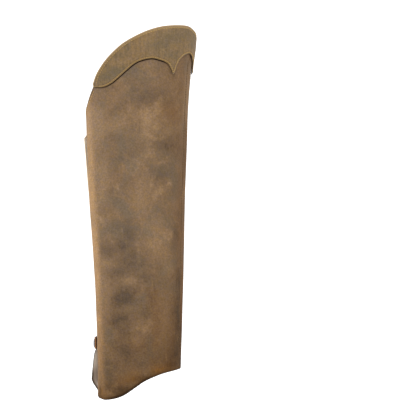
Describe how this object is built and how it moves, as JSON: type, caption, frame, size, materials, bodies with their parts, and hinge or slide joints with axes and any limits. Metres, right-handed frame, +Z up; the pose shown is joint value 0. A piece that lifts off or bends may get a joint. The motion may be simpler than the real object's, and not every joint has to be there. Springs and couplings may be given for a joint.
{
  "type": "half chap",
  "caption": "Tall brown leather half chap: an open, shaped leg tube with a scalloped yoke at the knee, an overlapping flap down the back and a snap tab at the ankle.",
  "frame": {"origin": "on the leg's axis, in the middle of the hollow at the calf, 0.300 m above the lowest point of the hem", "axes": "+X to the shin, -Y to the outer side of the leg, +Z up the leg"},
  "size_m": [0.1409, 0.116, 0.4571],
  "materials": {
    "oiled_leather": "oiled, distressed brown leather with a cloudy mottle, semi-matt",
    "yoke_leather": "olive-brown oiled leather, semi-matt",
    "strap_leather": "tan strap leather with a raw edge",
    "snap_metal": "nickel-plated snap, satin",
    "touch_fastener": "matt brown woven tape with hooks and loops"
  },
  "bodies": {
    "root": {"outer_panel": "oiled_leather", "inner_panel": "oiled_leather", "yoke": "yoke_leather", "snap_tab": "strap_leather", "snap_cap": "snap_metal", "snap_stud": "snap_metal", "hook_tape": "touch_fastener", "loop_tape": "touch_fastener"}
  },
  "joints": []
}
